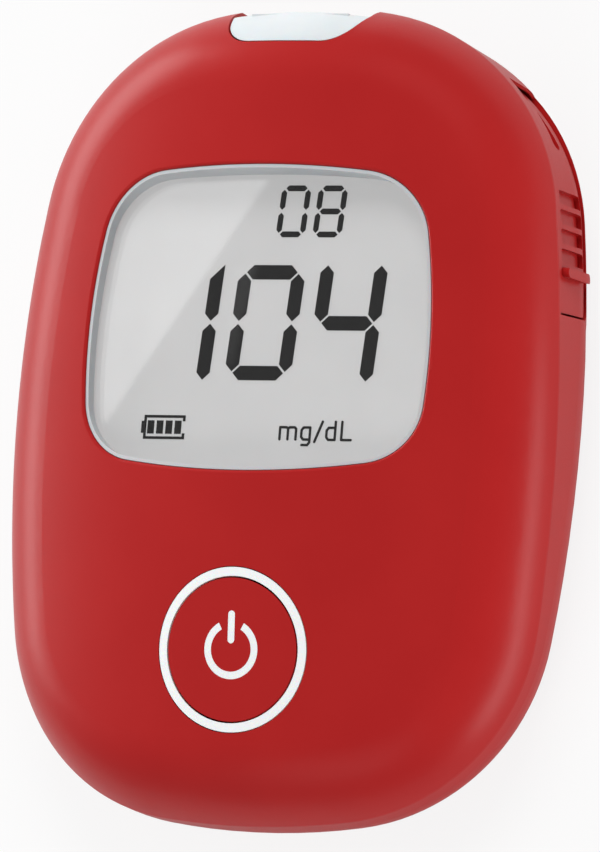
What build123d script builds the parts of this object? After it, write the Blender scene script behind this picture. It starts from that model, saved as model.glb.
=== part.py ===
import os
from collections import namedtuple
from math import atan2, cos, degrees, hypot, radians, sin, sqrt

from build123d import *

os.makedirs("parts", exist_ok=True)

# A pocket blood glucose meter, lying on its back. X runs to its right, Y towards the
# strip port and Z out of the display. The origin is under the middle of its back.

# Body: plan outline of tangent arcs, domed front, rounded shoulders and rear edge
body_width = 61.5
body_length = 85.1
body_height = 23.0
body_widest_y = -3.1
side_radius = 168.0
top_end_radius = 64.0
bottom_end_radius = 72.0
top_corner_radius = 23.4
bottom_corner_radius = 22.5
dome_radius_across = 81.0
dome_radius_along = 265.0
dome_peak_y = 22.0
shoulder_radius = 10.2
shoulder_step = 0.5  # how far the shoulder's curve would overhang the side wall
crease_round = 0.8
rear_radius = 7.1
shell_wall = 1.8
parting_height = 3.6
lip_height = 1.6
lip_thickness = 1.6

# Clearances
fit_gap = 0.15
slide_gap = 0.2
seat_gap = 0.05
pin_gap = 0.06

# Display window and lens
window_half_width = 19.4
window_length = 31.8
window_end_margin = 18.35  # from the strip end of the body
window_widest_height = 13.0  # above the window's lower edge
window_side_radius = 67.0
window_top_radius = 134.0
window_bottom_radius = 82.0
window_top_corner = 7.6
window_bottom_corner = 6.8
window_edge_round = 0.3
lens_recess = 0.25
lens_thickness = 1.0
bezel_wall = 0.35
bezel_overlap = 1.2

# Liquid crystal display, on a plane that leans back with the window
display_tilt = 3.0
display_drop = 4.3  # from the body's highest point to the front glass
glass_margin = 0.45  # glass beyond the window
glass_thickness = 0.5
crystal_gap = 0.1
segment_thickness = 0.06
backlight_thickness = 0.25
backlight_margin = 0.5
contact_ledge = 2.4
contact_margin = 0.4
ledge_overhang = 1.5  # how far the contact ledge takes the glass beyond its lower margin
holder_wall = 0.7
holder_opening_margin = 4.0
large_digit_height = 12.0
large_digit_width = 7.55
large_digit_pitch = 9.25
large_digit_stroke = 1.5
large_digit_mid = (-0.25, 0.18)
small_digit_height = 5.4
small_digit_width = 3.3
small_digit_pitch = 4.15
small_digit_stroke = 0.6
small_digit_mid = (4.05, 11.8)
digit_lean = 4.0
segment_gap = 0.16
battery_icon_mid = (-10.75, -10.8)
battery_icon_size = (4.7, 2.5)
battery_icon_line = 0.28
battery_icon_bars = 4
unit_mark_place = (2.45, -11.9)
unit_mark_height = 1.87
unit_mark_line = 0.26

# Circuit board
board_drop = 10.1  # from the body's highest point to the board's underside
board_thickness = 1.0
board_edge = 5.6
board_tab_half = 12.5
board_tab_overlap = 1.9  # how far the wide part reaches over the battery tray
board_tab_margin = 9.05
chip_edge = 0.15
chip_size = (9.0, 9.0, 1.4)
chip_place = (-12.5, 3.0)
measuring_chip_size = (6.0, 5.0, 1.2)
measuring_chip_place = (6.0, 2.0)
crystal_size = (2.4, 6.0, 1.8)
crystal_place = (-3.0, 4.0)
buzzer_radius = 4.5
buzzer_height = 5.0
buzzer_edge = 0.3
buzzer_place = (-18.0, 14.5)
sound_hole_radius = 0.6
sound_hole_circle = 2.4
sound_hole_count = 6
passive_size = (1.0, 2.0, 0.8)
passive_pitch = 2.2
passive_count = 5
passive_row = (15.0, 0.5)

# Main button and its ring
button_end_margin = 16.8  # from the lower end of the body
ring_outer_radius = 8.3
ring_inner_radius = 7.4
ring_gap = 0.1
ring_depth = 1.0
button_travel = 0.4
button_flange = 0.8
button_flange_height = 0.7
button_side_gap = 0.18
button_stem_radius = 2.0
symbol_radius = 3.0
symbol_line = 0.75
symbol_bar = (0.6, 3.9)
symbol_opening = 64.0
symbol_depth = 0.4
switch_size = (5.2, 5.2, 1.1)
plunger_radius = 1.5
plunger_height = 0.4

# Strip port insert, connector and contacts
notch_depth = 5.15  # from the strip end of the body
notch_bottom_half = 6.4
notch_flare_depth = 1.55
notch_flare_half = 7.9
notch_corner = 3.6
notch_floor = 9.0
insert_recess = 1.05
insert_wall = 2.6
insert_flange = 1.0
strip_slot_width = 7.0
strip_slot_height = 1.0
strip_rise = 1.1  # from the board to the strip
mouth_flare = 1.0
connector_length = 8.6
connector_half_width = 6.5
connector_height = 3.1
contact_count = 5
contact_pitch = 1.2
contact_width = 0.5
contact_thickness = 0.3
contact_reach = 7.0
contact_tail = 1.6

# Strip ejector: a thumb piece in the side wall, a lever on a post and a pusher
eject_angle = 12.0
plate_start = -16.2  # angles are seen from the pivot post
plate_end = 49.5
opening_end = 47.0
plate_lean = 7.0  # of the lower end, away from upright
plate_corner = 1.0
plate_recess = 1.14  # the plate's own form is moved in this far and then shifted outwards,
plate_shift = 1.0  # so that it is nearly flush at its thumb end and sinks under the lip
plate_shift_angle = -15.0
plate_lip = 0.35  # thickness of the shell's lip over the plate's far end
plate_side_gap = 0.6  # degrees
liner_margin = 4.0  # degrees of liner beyond the pocket
lip_break_margin = 6.0  # degrees of register lip left out beyond the pocket
plate_bottom = 5.1
plate_top = 12.0
liner_thickness = 1.15
grip_pockets = 4
grip_pocket_angle = 12.5
grip_pocket_pitch = 5.1
grip_pocket_width = 1.5
grip_pocket_depth = 0.55
grip_pocket_bottom = 5.7
grip_pocket_top = 11.6
rib_lean = 5.5
thumb_rib_angle = -6.9
thumb_rib_width = 1.0
thumb_rib_rise = 0.8
thumb_rib_bottom = 5.8
thumb_rib_top = 11.7
arrow_angle = 33.3
arrow_length = 5.0
arrow_width = 1.5
arrow_depth = 0.5
arrow_height = 8.2
post_radius = 1.5
post_shoulder_radius = 2.5
hub_radius = 3.3
hub_bottom = 5.9
hub_top = 9.2
lever_bottom = 6.3
lever_width = 4.0
lever_angle = -6.0
lever_pin_distance = 14.0
lever_pin_radius = 1.2
pin_slot_gap = 0.12
pusher_bottom = 9.6
pusher_thickness = 1.8
pusher_width = 4.0
pusher_end = 2.9  # beyond the lever pin
pusher_arm_half = 1.5
finger_half = 0.8
finger_inset = 0.8
finger_length = 1.4
guide_clearance = 0.8
guide_length = 3.5
spring_wire = 0.3
spring_turns = 3
spring_pitch = 0.8
spring_radius = 3.0
spring_leg = 6.0

# Batteries, two AAA cells across the lower half
cell_length = 44.5
cell_radius = 5.25
cell_nub_length = 1.0
cell_nub_radius = 1.9
cell_pitch = 11.0
cells_end_margin = 21.45  # from the lower end of the body to between the cells
cell_floor_gap = 0.25
contact_space = 1.95  # beyond each end of the cells
tray_wall = 1.0
tray_side_gap = 0.25
plate_metal = 0.4
contact_bump = 0.5
contact_plate_width = 8.0
cell_spring_wire = 0.25
cell_spring_radius = 3.2
cell_spring_turns = 2.5
cell_spring_pitch = 0.72
cell_spring_cone = 28.0

# Battery door
door_gap = 0.2
door_corner = 4.0
door_proud_gap = 0.05
hook_mid_x = 12.5
hook_width = 5.0
hook_reach = 1.2
hook_thickness = 0.9
latch_width = 8.0
latch_height = 1.4
latch_thickness = 0.9
grip_lines = 3
grip_pitch = 1.8
grip_width = 12.0
grip_margin = 5.4
grip_depth = 0.4

# Fasteners and label
screw_radius = 1.0
screw_head_radius = 1.9
screw_head_height = 1.3
screw_head_edge = 0.25
screw_sink = 3.2
screw_bite = 5.5
boss_radius = 2.6
rear_boss_radius = 3.1
rear_boss_top = 4.6
boss_gap = 0.2
driver_recess = (1.2, 0.3)  # cross length and width, as shares of the head's radius
top_boss_x = 14.5
top_boss_margin = 12.75
bottom_boss_x = 11.0
bottom_boss_margin = 5.55
board_screw_margin = 6.45
board_screw_y = 8.0
board_post_radius = 2.0
board_screw_radius = 0.8
board_screw_head = 1.6
board_screw_bite = 2.4
label_size = (38.0, 12.0)
label_margin = 5.1  # from the battery door
label_corner = 1.5
label_recess = 0.3
label_thickness = 0.2

# Worked out from the values above
top_y = body_length / 2
bottom_y = -body_length / 2
window_top_y = top_y - window_end_margin
window_bottom_y = window_top_y - window_length
display_mid_y = (window_top_y + window_bottom_y) / 2
display_height = body_height - display_drop
board_bottom = body_height - board_drop
board_top = board_bottom + board_thickness
strip_height = board_top + strip_rise
slot_top = strip_height + strip_slot_height
button_y = bottom_y + button_end_margin
notch_bottom_y = top_y - notch_depth
cells_mid_y = bottom_y + cells_end_margin
tray_half_width = cell_length / 2 + contact_space
top_boss_place = (top_boss_x, top_y - top_boss_margin)
bottom_boss_place = (bottom_boss_x, bottom_y + bottom_boss_margin)
board_screw_place = (body_width / 2 - board_screw_margin, board_screw_y)
tall = 2 * body_height

Outline = namedtuple(
    "Outline",
    "half_width widest_y top bottom side_radius top_radius bottom_radius top_corner bottom_corner",
)
body_plan = Outline(
    body_width / 2,
    body_widest_y,
    top_y,
    bottom_y,
    side_radius,
    top_end_radius,
    bottom_end_radius,
    top_corner_radius,
    bottom_corner_radius,
)
window_plan = Outline(
    window_half_width,
    window_bottom_y + window_widest_height,
    window_top_y,
    window_bottom_y,
    window_side_radius,
    window_top_radius,
    window_bottom_radius,
    window_top_corner,
    window_bottom_corner,
)


def corner_arc(plan, end):
    """Centre, radius and both tangent angles of a corner arc; end is 1 at the top, -1 below."""
    edge, end_radius, radius = (
        (plan.top, plan.top_radius, plan.top_corner)
        if end > 0
        else (plan.bottom, plan.bottom_radius, plan.bottom_corner)
    )
    side_x = plan.half_width - plan.side_radius
    tip_y = edge - end * end_radius
    run_x = -side_x
    run_y = tip_y - plan.widest_y
    span = hypot(run_x, run_y)
    reach = plan.side_radius - radius
    along = (reach**2 - (end_radius - radius) ** 2 + span**2) / (2 * span)
    off = end * sqrt(reach**2 - along**2)
    centre_x = side_x + (along * run_x - off * run_y) / span
    centre_y = plan.widest_y + (along * run_y + off * run_x) / span
    side_angle = degrees(atan2(centre_y - plan.widest_y, centre_x - side_x))
    tip_angle = degrees(atan2(centre_y - tip_y, centre_x))
    return (centre_x, centre_y), radius, side_angle, tip_angle


def plan_face(plan, inset=0.0, plane=Plane.XY):
    """Face inside an outline that is moved inwards by inset."""
    top_centre, top_radius, top_side, top_tip = corner_arc(plan, 1)
    low_centre, low_radius, low_side, low_tip = corner_arc(plan, -1)
    with BuildSketch(plane) as face:
        with BuildLine():
            side_centre = (plan.half_width - plan.side_radius, plan.widest_y)
            CenterArc(side_centre, plan.side_radius - inset, low_side, top_side - low_side)
            CenterArc(top_centre, top_radius - inset, top_side, top_tip - top_side)
            CenterArc(low_centre, low_radius - inset, low_side, low_tip - low_side)
            mirror(about=Plane.YZ)
            top_mid = (0, plan.top - plan.top_radius)
            low_mid = (0, plan.bottom + plan.bottom_radius)
            CenterArc(top_mid, plan.top_radius - inset, top_tip, 180 - 2 * top_tip)
            CenterArc(low_mid, plan.bottom_radius - inset, low_tip, -180 - 2 * low_tip)
        make_face()
    return face.sketch


def under_dome(depth):
    """Everything below the domed front when its surface is lowered by depth."""
    half_angle = degrees(body_length / dome_radius_along)
    arc_radius = dome_radius_along - depth
    arc_mid = (dome_peak_y, body_height - dome_radius_along)
    with BuildPart() as barrel:
        with BuildSketch(Plane.YZ):
            with BuildLine():
                arc = CenterArc(arc_mid, arc_radius, 90 - half_angle, 2 * half_angle)
                axis_height = body_height - dome_radius_across
                start, stop = arc @ 0, arc @ 1
                Polyline(start, (start.X, axis_height), (stop.X, axis_height), stop)
            make_face()
        revolve(axis=Axis((0, 0, axis_height), (0, 1, 0)))
    return barrel.part


def body_form(inset, floor=None):
    """Solid inside the body's surface moved inwards by inset, down to floor."""
    base = Plane.XY.offset(inset if floor is None else floor)
    with BuildPart() as form:
        extrude(plan_face(body_plan, inset - shoulder_step, base), amount=tall)
        add(under_dome(inset), mode=Mode.INTERSECT)
        fillet(form.faces().sort_by(Axis.Z)[-1].edges(), shoulder_radius - inset)
        extrude(plan_face(body_plan, inset, base), amount=tall, mode=Mode.INTERSECT)
        fillet(form.faces().sort_by(Axis.Z)[0].edges(), rear_radius - inset)
    return form.part


outer_form = body_form(0.0)
inner_form = body_form(shell_wall)
mid_form = body_form(shell_wall / 2)
clear_form = body_form(shell_wall + fit_gap)
pivot = corner_arc(body_plan, 1)[0]


def block(low, high):
    """Box between two corners."""
    with BuildPart() as box:
        with Locations(tuple((a + b) / 2 for a, b in zip(low, high))):
            Box(*[b - a for a, b in zip(low, high)])
    return box.part


def disc(place, radius, low, high, inner=0.0):
    """Upright cylinder at a plan position, hollow where inner is given."""
    with BuildPart() as cylinder:
        with BuildSketch(Plane.XY.offset(low)):
            with Locations(place):
                Circle(radius)
                if inner > 0:
                    Circle(inner, mode=Mode.SUBTRACT)
        extrude(amount=high - low)
    return cylinder.part


def sector(start, stop, low, high):
    """Pie slice about the pivot post, from one angle to another."""
    reach = body_width
    with BuildPart() as slice_of_pie:
        with BuildSketch(Plane.XY.offset(low)):
            with BuildLine():
                rim = CenterArc(pivot, reach, start, stop - start)
                Line(pivot, rim @ 0)
                Line(rim @ 1, pivot)
            make_face()
        extrude(amount=high - low)
    return slice_of_pie.part


def pivot_plane(angle, height):
    """Plane at a height whose X axis leaves the pivot at an angle."""
    return Plane(origin=(*pivot, height), x_dir=(cos(radians(angle)), sin(radians(angle)), 0))


def both_sides(place):
    return [(place[0], place[1]), (-place[0], place[1])]


boss_places = both_sides(top_boss_place) + both_sides(bottom_boss_place)
display_plane = Plane(
    origin=(0, display_mid_y, display_height),
    x_dir=(1, 0, 0),
    z_dir=(0, -sin(radians(display_tilt)), cos(radians(display_tilt))),
)


def notch_face(grow, plane):
    """Flared notch in the strip end, made wider and deeper by grow."""
    beyond = body_length
    with BuildSketch(plane) as face:
        with BuildLine():
            Polyline(
                (0, notch_bottom_y - grow),
                (notch_bottom_half + grow, notch_bottom_y - grow),
                (notch_flare_half + grow, top_y - notch_flare_depth),
                (notch_flare_half + grow, beyond),
                (0, beyond),
            )
            mirror(about=Plane.YZ)
        make_face()
        floor_corners = face.vertices().group_by(Axis.Y)[0].sort_by(Axis.X)
        fillet([floor_corners[0], floor_corners[-1]], notch_corner + grow)
    return face.sketch


def display_slab(half_width, low, high, bottom, top):
    """Box square to the display plane, between two levels counted from it."""
    with BuildPart(display_plane) as slab:
        with Locations((0, (low + high) / 2, (bottom + top) / 2)):
            Box(2 * half_width, high - low, top - bottom)
    return slab.part


def plate_form(inset):
    """The ejector plate's own body form: shifted towards its thumb end."""
    turn = radians(plate_shift_angle)
    return Pos(plate_shift * cos(turn), plate_shift * sin(turn), 0) * body_form(inset)


def plate_slice(stop, grow=0.0):
    """Slice that holds the ejector plate: its lower end leans and has one rounded corner."""
    low = plate_bottom - grow
    level = pivot_plane(plate_start, (plate_bottom + plate_top) / 2)
    end_plane = Plane(level.origin, x_dir=level.x_dir, z_dir=level.y_dir)
    end_plane = end_plane.rotated((plate_lean, 0, 0)).offset(-grow)
    rim = level.origin + level.x_dir * top_corner_radius
    with BuildPart() as leaning:
        add(sector(2 * plate_start, stop, low, plate_top + grow))
        split(bisect_by=end_plane, keep=Keep.TOP)
        corner = leaning.edges().sort_by_distance((rim.X, rim.Y, low))[0]
        fillet(corner, plate_corner + grow)
    return leaning.part


def wall_plane(angle, height):
    """Upright plane that faces away from the pivot at an angle, its Y axis up."""
    level = pivot_plane(angle, height)
    return Plane(level.origin, x_dir=level.y_dir, z_dir=level.x_dir)


def lying_cylinder(start, radius, length):
    """Cylinder along +X from a start point."""
    with BuildPart() as cylinder:
        with BuildSketch(Plane(origin=start, x_dir=(0, 1, 0), z_dir=(1, 0, 0))):
            Circle(radius)
        extrude(amount=length)
    return cylinder.part


def coil(plane, radius, wire, pitch, turns, cone=0.0, leg=0.0):
    """Wire wound about a plane's normal, with straight legs at both ends."""
    with BuildPart() as winding:
        with BuildLine() as path:
            helix = Helix(pitch, pitch * turns, radius, (0, 0, 0), (0, 0, 1), cone)
            if leg > 0:
                Line((helix @ 0) - (helix % 0) * leg, helix @ 0)
                Line(helix @ 1, (helix @ 1) + (helix % 1) * leg)
        with BuildSketch(Plane(origin=path.wire() @ 0, z_dir=path.wire() % 0)):
            Circle(wire)
        sweep(path=path.wire())
    return plane * winding.part


# ---- Front shell
glass_half_width = window_half_width + glass_margin
glass_high = window_length / 2 + glass_margin
glass_low = -glass_high - ledge_overhang
pocket_floor = shell_wall + fit_gap
liner_inset = pocket_floor + liner_thickness
travel_end = plate_end + eject_angle + plate_side_gap
arm_swing = degrees((lever_width / 2 + 2 * slide_gap) / (top_corner_radius - liner_inset))
boss_bottom = rear_boss_top + boss_gap
pilot_top = screw_sink + screw_bite + boss_gap

with BuildPart() as posts:
    for place in boss_places:
        add(disc(place, boss_radius, boss_bottom, tall))
    for place in both_sides(board_screw_place):
        add(disc(place, board_post_radius, board_top + seat_gap, tall))
    add(mid_form, mode=Mode.INTERSECT)
    for place in boss_places:
        add(disc(place, screw_radius + seat_gap, 0, pilot_top), mode=Mode.SUBTRACT)
    for place in both_sides(board_screw_place):
        pilot = board_top + board_screw_bite + boss_gap
        add(disc(place, board_screw_radius + seat_gap, 0, pilot), mode=Mode.SUBTRACT)

with BuildPart() as liner:
    add(mid_form)
    add(body_form(liner_inset), mode=Mode.SUBTRACT)
    liner_start, liner_end = plate_start - liner_margin, travel_end + liner_margin
    liner_top = plate_top + slide_gap + liner_thickness
    add(sector(liner_start, liner_end, parting_height, liner_top), mode=Mode.INTERSECT)

with BuildPart() as plate_cover:
    add(sector(opening_end, travel_end + liner_margin, 0, tall))
    add(body_form(plate_lip), mode=Mode.SUBTRACT)

with BuildPart() as plate_pocket:
    add(plate_slice(travel_end, slide_gap))
    add(clear_form, mode=Mode.SUBTRACT)
    add(plate_cover.part, mode=Mode.SUBTRACT)

with BuildPart() as arm_window:
    swing_start, swing_end = lever_angle - arm_swing, lever_angle + eject_angle + arm_swing
    add(sector(swing_start, swing_end, lever_bottom - slide_gap, hub_top + slide_gap))
    add(body_form(liner_inset + tray_wall), mode=Mode.SUBTRACT)

with BuildPart() as ring_seat:
    add(disc((0, button_y), ring_outer_radius + ring_gap, board_top, tall))
    add(under_dome(ring_depth), mode=Mode.SUBTRACT)

with BuildPart() as front_shell:
    add(outer_form)
    walls = front_shell.faces().filter_by(GeomType.CYLINDER)
    creases = [wall.edges().filter_by(Axis.Z, reverse=True).sort_by(Axis.Z)[-1] for wall in walls]
    fillet(creases, crease_round)
    add(inner_form, mode=Mode.SUBTRACT)
    split(bisect_by=Plane.XY.offset(parting_height), keep=Keep.TOP)
    window_cut = plan_face(window_plan, 0.0, Plane.XY.offset(board_top))
    extrude(window_cut, amount=tall, mode=Mode.SUBTRACT)
    outer_dome = front_shell.faces().sort_by(SortBy.AREA)[-1]
    fillet(outer_dome.inner_wires()[0].edges(), window_edge_round)
    add(posts.part)
    add(liner.part)
    add(plate_pocket.part, mode=Mode.SUBTRACT)
    add(arm_window.part, mode=Mode.SUBTRACT)
    seat = (glass_half_width + slide_gap, glass_low - slide_gap, glass_high + slide_gap)
    add(display_slab(*seat, -tall, seat_gap), mode=Mode.SUBTRACT)
    extrude(notch_face(0.0, Plane.XY.offset(notch_floor)), amount=tall, mode=Mode.SUBTRACT)
    add(disc((0, button_y), ring_inner_radius, board_top, tall), mode=Mode.SUBTRACT)
    add(ring_seat.part, mode=Mode.SUBTRACT)
front_shell.part.label = "front_shell"
export_step(front_shell.part, "parts/front_shell.step")

# ---- Rear shell: floor with a register lip, screw bosses, battery tray and ejector post
cells_low_y = cells_mid_y - cell_pitch / 2 - cell_radius - tray_side_gap
cells_high_y = cells_mid_y + cell_pitch / 2 + cell_radius + tray_side_gap
tray_top = board_bottom - seat_gap
cell_height = shell_wall + cell_floor_gap + cell_radius
cell_places = (cells_mid_y + cell_pitch / 2, cells_mid_y - cell_pitch / 2)
door_half_width = tray_half_width - door_gap
door_low_y = cells_low_y + door_gap
door_high_y = cells_high_y - door_gap
label_mid_y = cells_high_y + label_margin + label_size[1] / 2
lip_inset = shell_wall + fit_gap + lip_thickness
pin_x = pivot[0] + lever_pin_distance * cos(radians(lever_angle))
pin_y = pivot[1] + lever_pin_distance * sin(radians(lever_angle))
finger_stroke = lever_pin_distance * 2 * sin(radians(eject_angle / 2))
guide_y = pin_y + pusher_width / 2 + finger_stroke + guide_clearance
guide_end = guide_y + guide_length
guide_half = pusher_arm_half + fit_gap
hook_top = shell_wall + slide_gap + hook_thickness


def door_face(grow, plane):
    """Outline of the battery door, made larger by grow."""
    with BuildSketch(plane) as face:
        with Locations((0, (door_low_y + door_high_y) / 2)):
            width = 2 * (door_half_width + grow)
            RectangleRounded(width, door_high_y - door_low_y + 2 * grow, door_corner + grow)
    return face.sketch


with BuildPart() as tray_walls:
    low = (-tray_half_width - tray_wall, cells_low_y - tray_wall, 0)
    add(block(low, (tray_half_width + tray_wall, cells_high_y + tray_wall, tray_top)))
    low = (-tray_half_width, cells_low_y, 0)
    add(block(low, (tray_half_width, cells_high_y, tall)), mode=Mode.SUBTRACT)

with BuildPart() as pusher_guide:
    guide_edge = guide_half + tray_wall
    guide_top = pusher_bottom + pusher_thickness
    add(block((-guide_edge, guide_y, 0), (guide_edge, guide_end, guide_top)))
    low = (-guide_half, guide_y - tray_wall, pusher_bottom - fit_gap)
    add(block(low, (guide_half, guide_end + tray_wall, tall)), mode=Mode.SUBTRACT)

# The hollow of the rear shell: everything above its floor but the lip and what stands up
with BuildPart() as rear_hollow:
    lip_top = parting_height + lip_height
    add(body_form(lip_inset, shell_wall))
    add(block((-tall, -tall, lip_top), (tall, tall, tall)))
    lip_start, lip_end = plate_start - lip_break_margin, travel_end + lip_break_margin
    add(sector(lip_start, lip_end, parting_height, tall))
    for place in boss_places:
        add(disc(place, boss_radius + 2 * fit_gap, parting_height, tall))
        add(disc(place, rear_boss_radius, 0, rear_boss_top), mode=Mode.SUBTRACT)
    add(disc(pivot, post_shoulder_radius, 0, hub_bottom - slide_gap), mode=Mode.SUBTRACT)
    add(disc(pivot, post_radius, 0, hub_top + seat_gap), mode=Mode.SUBTRACT)
    add(pusher_guide.part, mode=Mode.SUBTRACT)
    add(tray_walls.part, mode=Mode.SUBTRACT)

with BuildPart() as rear_shell:
    add(outer_form)
    split(bisect_by=Plane.XY.offset(parting_height), keep=Keep.BOTTOM)
    add(clear_form)
    add(rear_hollow.part, mode=Mode.SUBTRACT)
    for place in boss_places:
        add(disc(place, screw_radius + seat_gap, 0, tall), mode=Mode.SUBTRACT)
        add(disc(place, screw_head_radius + fit_gap, 0, screw_sink), mode=Mode.SUBTRACT)
    door_cut = door_face(door_gap, Plane.XY)
    extrude(door_cut, amount=parting_height + lip_height, mode=Mode.SUBTRACT)
    with BuildSketch(Plane.XY):
        with Locations((0, label_mid_y)):
            RectangleRounded(label_size[0] + fit_gap, label_size[1] + fit_gap, label_corner)
    extrude(amount=label_recess, mode=Mode.SUBTRACT)
    with BuildSketch(Plane.XY):
        with Locations(buzzer_place):
            Circle(sound_hole_radius)
            with PolarLocations(sound_hole_circle, sound_hole_count):
                Circle(sound_hole_radius)
    extrude(amount=shell_wall, mode=Mode.SUBTRACT)
    for hook_x in (-hook_mid_x, hook_mid_x):
        half = hook_width / 2 + 2 * slide_gap
        low = (hook_x - half, cells_high_y - fit_gap, shell_wall)
        high = (hook_x + half, cells_high_y + 2 * tray_wall, hook_top + tray_wall)
        add(block(low, high), mode=Mode.SUBTRACT)
    half = latch_width / 2 + slide_gap
    low = (-half, cells_low_y - tray_wall - fit_gap, shell_wall)
    high = (half, cells_low_y + fit_gap, shell_wall + latch_height + tray_wall)
    add(block(low, high), mode=Mode.SUBTRACT)
rear_shell.part.label = "rear_shell"
export_step(rear_shell.part, "parts/rear_shell.step")

# ---- Battery door: a panel with two hooks on its hinge side and a latch tongue
with BuildPart() as battery_door:
    add(body_form(door_proud_gap))
    add(inner_form, mode=Mode.SUBTRACT)
    door_prism = door_face(0, Plane.XY)
    extrude(door_prism, amount=parting_height - door_gap, mode=Mode.INTERSECT)
    for hook_x in (-hook_mid_x, hook_mid_x):
        low_x, high_x = hook_x - hook_width / 2, hook_x + hook_width / 2
        web_y = door_high_y - tray_wall
        add(block((low_x, web_y, shell_wall / 2), (high_x, door_high_y, hook_top)))
        lip_high = (high_x, cells_high_y + hook_reach, hook_top)
        add(block((low_x, web_y, shell_wall + slide_gap), lip_high))
    latch_y = door_low_y + slide_gap
    latch_top = shell_wall + latch_height
    half = latch_width / 2
    add(block((-half, latch_y, shell_wall / 2), (half, latch_y + latch_thickness, latch_top)))
    with BuildSketch(Plane.XY):
        with Locations((0, door_low_y + grip_margin)):
            with GridLocations(0, grip_pitch, 1, grip_lines):
                SlotOverall(grip_width, grip_pitch / 2)
    extrude(amount=grip_depth, mode=Mode.SUBTRACT)
battery_door.part.label = "battery_door"
export_step(battery_door.part, "parts/battery_door.step")

# ---- Display: lens, bezel, glass, segments, backlight sheet, holder and contact strip
lining_inset = seat_gap + bezel_wall
lens_inset = lining_inset + seat_gap

with BuildPart() as display_lens:
    extrude(plan_face(window_plan, lens_inset, Plane.XY.offset(board_top)), amount=tall)
    add(under_dome(lens_recess), mode=Mode.INTERSECT)
    add(under_dome(lens_recess + lens_thickness), mode=Mode.SUBTRACT)
display_lens.part.label = "display_lens"
export_step(display_lens.part, "parts/display_lens.step")

with BuildPart() as bezel_lining:
    extrude(plan_face(window_plan, seat_gap, Plane.XY.offset(board_top)), amount=tall)
    add(under_dome(lens_recess), mode=Mode.INTERSECT)

with BuildPart() as display_bezel:
    extrude(plan_face(window_plan, -bezel_overlap, Plane.XY.offset(board_top)), amount=tall)
    add(under_dome(shell_wall + seat_gap), mode=Mode.INTERSECT)
    add(bezel_lining.part)
    bezel_opening = plan_face(window_plan, lining_inset, Plane.XY.offset(board_bottom))
    extrude(bezel_opening, amount=tall, mode=Mode.SUBTRACT)
    split(bisect_by=display_plane.offset(seat_gap), keep=Keep.TOP)
display_bezel.part.label = "display_bezel"
export_step(display_bezel.part, "parts/display_bezel.step")

crystal_level = -glass_thickness - crystal_gap
backlight_level = crystal_level - glass_thickness
holder_level = backlight_level - backlight_thickness - seat_gap
ledge_end = glass_low + contact_ledge

with BuildPart() as lcd_front_glass:
    add(display_slab(glass_half_width, glass_low, glass_high, -glass_thickness, 0))
lcd_front_glass.part.label = "lcd_front_glass"
export_step(lcd_front_glass.part, "parts/lcd_front_glass.step")

with BuildPart() as lcd_rear_glass:
    add(display_slab(glass_half_width, ledge_end, glass_high, backlight_level, crystal_level))
lcd_rear_glass.part.label = "lcd_rear_glass"
export_step(lcd_rear_glass.part, "parts/lcd_rear_glass.step")

with BuildPart() as lcd_backlight:
    sheet = (ledge_end + backlight_margin, glass_high - backlight_margin)
    sheet_bottom = backlight_level - backlight_thickness
    add(display_slab(glass_half_width - backlight_margin, *sheet, sheet_bottom, backlight_level))
lcd_backlight.part.label = "lcd_backlight"
export_step(lcd_backlight.part, "parts/lcd_backlight.step")

segment_ends = {
    "a": ((-1, 1), (1, 1)),
    "b": ((1, 1), (1, 0)),
    "c": ((1, 0), (1, -1)),
    "d": ((-1, -1), (1, -1)),
    "e": ((-1, 0), (-1, -1)),
    "f": ((-1, 1), (-1, 0)),
    "g": ((-1, 0), (1, 0)),
}
segments_of = {"0": "abcdef", "1": "bc", "4": "bcfg", "8": "abcdefg"}


def segment_outline(name, lit, width, height, stroke):
    """Segment with pointed ends, leaning with the digit; a free end runs on to the digit's edge."""
    (x0, y0), (x1, y1) = segment_ends[name]
    half_x, half_y, half_line = (width - stroke) / 2, (height - stroke) / 2, stroke / 2
    start = Vector(x0 * half_x, y0 * half_y)
    stop = Vector(x1 * half_x, y1 * half_y)
    along = (stop - start).normalized()
    across = Vector(-along.Y, along.X) * half_line
    corners = []
    for end, inward, side, free in (
        (start, along, across, name in "bf" and "a" not in lit),
        (stop, -along, -across, name in "ce" and "d" not in lit),
    ):
        base = end + inward * (-half_line if free else segment_gap)
        if free and lit == "bc" and name == "b":
            corners += [base - side + inward * stroke, base + side]
        else:
            corners += [base - side + inward * half_line, base, base + side + inward * half_line]
    lean = sin(radians(digit_lean)) / cos(radians(digit_lean))
    return [(point.X + lean * point.Y, point.Y) for point in corners]


def draw_digits(text, middle, pitch, width, height, stroke):
    """Seven-segment digits in the current sketch."""
    for index, digit in enumerate(text):
        shift = (index - (len(text) - 1) / 2) * pitch
        for name in segments_of[digit]:
            outline = segment_outline(name, segments_of[digit], width, height, stroke)
            with Locations((middle[0] + shift, middle[1])):
                Polygon(*outline, align=None)


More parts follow.
